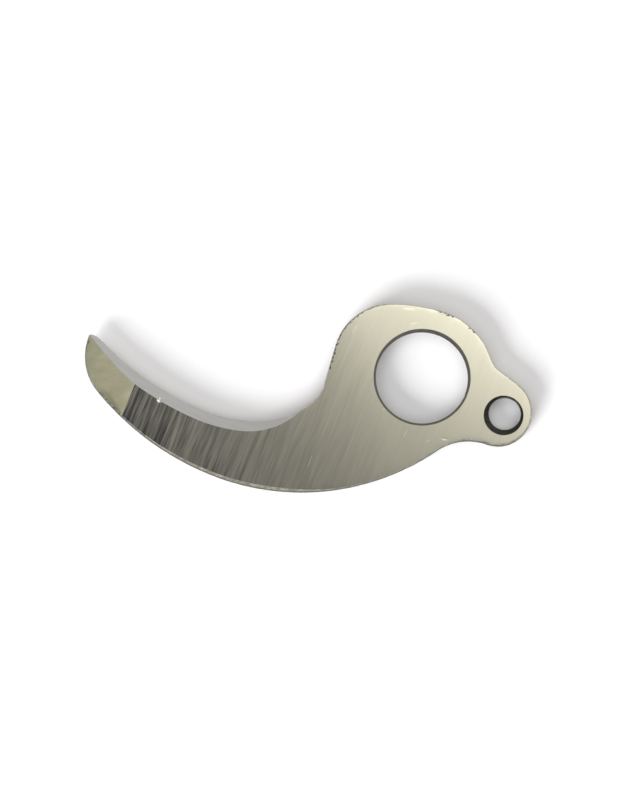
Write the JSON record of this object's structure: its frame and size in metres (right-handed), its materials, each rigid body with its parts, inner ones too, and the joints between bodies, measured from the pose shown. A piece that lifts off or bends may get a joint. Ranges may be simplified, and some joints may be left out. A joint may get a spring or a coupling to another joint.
{
  "type": "pruning shear hook blade",
  "caption": "Hooked steel counter blade for powered pruning shears, with a bevelled jaw, a relief-ground hook end, a pivot bore and a locating hole.",
  "frame": {"origin": "on the pivot bore's axis, halfway through the plate", "axes": "+X along the plate's length, from the hook towards the locating lobe; +Y towards the side the hook opens to; +Z out of the bevelled face, along the pivot bore"},
  "size_m": [0.0966, 0.0407, 0.004],
  "materials": {
    "ground_steel": "hardened tool steel, surface ground and left bare"
  },
  "bodies": {
    "root": {"hook_blade": "ground_steel"}
  },
  "joints": []
}
